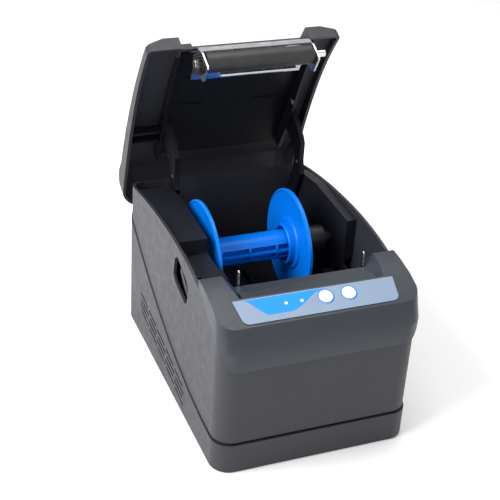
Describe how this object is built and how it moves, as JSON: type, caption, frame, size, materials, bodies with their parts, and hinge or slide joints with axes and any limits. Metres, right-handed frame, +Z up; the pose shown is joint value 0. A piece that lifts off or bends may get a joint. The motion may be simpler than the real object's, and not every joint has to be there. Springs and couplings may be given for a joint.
{
  "type": "receipt printer",
  "caption": "Desktop thermal receipt printer with an open lift-up lid, roll spindle with flanges, platen roller and sloped key panel.",
  "frame": {"origin": "centre of the underside of the base pan, between the front face and the rear of the foot print, with the lid open", "axes": "+Z up, +X to the printer's right as seen from the front, +Y towards the hinge at the rear; the front key panel faces -Y"},
  "size_m": [0.1504, 0.2535, 0.2533],
  "materials": {
    "case_dark": "fine matt texture, charcoal ABS",
    "hood_dark": "fine matt texture, charcoal ABS",
    "bay_plastic": "matt, near-black ABS",
    "lid_inner": "satin, near-black ABS",
    "foot_rubber": "matt black rubber",
    "zinc_steel": "zinc plated",
    "bright_steel": "bright nickel plated",
    "chrome_plate": "bright chrome plated sheet",
    "overlay_film": "printed polyester film, satin",
    "lamp_lens": "clear white moulding",
    "key_white": "glossy white moulding",
    "board_green": "solder resist over glass-fibre board",
    "cast_aluminium": "extruded, plain",
    "head_ceramic": "glazed dark ceramic",
    "black_plastic": "moulded black nylon",
    "brass": "turned brass",
    "gear_nylon": "natural nylon",
    "gear_black": "black acetal",
    "lever_plastic": "dark grey acetal",
    "platen_rubber": "ground silicone rubber",
    "spool_blue": "bright blue ABS, satin gloss"
  },
  "bodies": {
    "case": {"base_pan": "case_dark", "rubber_feet": "foot_rubber", "case_screws": "zinc_steel", "upper_shell": "case_dark", "paper_bay": "bay_plastic", "bay_floor": "bay_plastic", "front_hood": "hood_dark", "panel_overlay": "overlay_film", "power_lens": "lamp_lens", "error_lens": "lamp_lens", "key_board": "board_green", "print_chassis": "bright_steel", "head_heatsink": "cast_aluminium", "print_head": "head_ceramic", "head_springs": "zinc_steel", "paper_sensor": "black_plastic", "stepper_motor": "zinc_steel", "idler_stud": "zinc_steel", "lever_pin": "zinc_steel", "main_board": "board_green", "power_inlet": "black_plastic", "usb_socket": "bright_steel", "drawer_jack": "black_plastic", "switch_frame": "black_plastic", "hinge_pins": "zinc_steel", "spindle_bushes": "black_plastic"},
    "lid": {"lid_shell": "case_dark", "lid_liner": "lid_inner", "hinge_arm_left": "lid_inner", "hinge_arm_right": "lid_inner", "lid_screws": "zinc_steel", "platen_bracket": "chrome_plate", "platen_bushes": "brass"},
    "platen": {"platen_shaft": "bright_steel", "platen_rubber": "platen_rubber", "platen_gear": "gear_black"},
    "roll_spindle": {"spindle_core": "black_plastic", "spindle": "spool_blue", "left_flange": "spool_blue"},
    "sliding_flange": {"right_flange": "spool_blue"},
    "pause_button": {"pause_key": "key_white"},
    "feed_button": {"feed_key": "key_white"},
    "lid_release": {"release_lever": "lever_plastic"},
    "rocker": {"switch_rocker": "black_plastic"},
    "pinion": {"motor_pinion": "brass"},
    "idler": {"idler_gear": "gear_nylon"}
  },
  "joints": [
    {"name": "lid_hinge", "type": "hinge", "parent": "case", "child": "lid", "pos_m": [0, 0.101, 0.093], "axis": [1, 0, 0], "range_deg": [0, 65]},
    {"name": "platen_spin", "type": "hinge", "parent": "lid", "child": "platen", "pos_m": [0, 0.05066, 0.24], "axis": [1, 0, 0], "continuous": true},
    {"name": "spindle_spin", "type": "hinge", "parent": "case", "child": "roll_spindle", "pos_m": [0, 0.03, 0.094], "axis": [1, 0, 0], "continuous": true},
    {"name": "flange_slide", "type": "slide", "parent": "roll_spindle", "child": "sliding_flange", "axis": [1, 0, 0], "range_m": [-0.045, 0.018]},
    {"name": "pause_press", "type": "slide", "parent": "case", "child": "pause_button", "axis": [0, 0.3633, -0.9317], "range_m": [0, 0.0008], "stiffness_N_per_m": 900},
    {"name": "feed_press", "type": "slide", "parent": "case", "child": "feed_button", "axis": [0, 0.3633, -0.9317], "range_m": [0, 0.0008], "stiffness_N_per_m": 900},
    {"name": "release_lift", "type": "hinge", "parent": "case", "child": "lid_release", "pos_m": [-0.07, -0.042, 0.094], "axis": [1, 0, 0], "range_deg": [0, 8], "stiffness_Nm_per_rad": 0.4, "springref_deg": -5.73},
    {"name": "power_rock", "type": "hinge", "parent": "case", "child": "rocker", "pos_m": [0.0506, 0.1126, 0.024], "axis": [0, 0, 1], "range_deg": [-18, 0]},
    {"name": "idler_spin", "type": "hinge", "parent": "case", "child": "idler", "pos_m": [-0.043, -0.0499, 0.09309], "axis": [1, 0, 0], "continuous": true},
    {"name": "pinion_spin", "type": "hinge", "parent": "case", "child": "pinion", "pos_m": [-0.043, -0.03674, 0.08723], "axis": [1, 0, 0], "continuous": true}
  ],
  "couplings": [
    {"joint": "idler_spin", "follows": "pinion_spin", "ratio": -0.5}
  ]
}
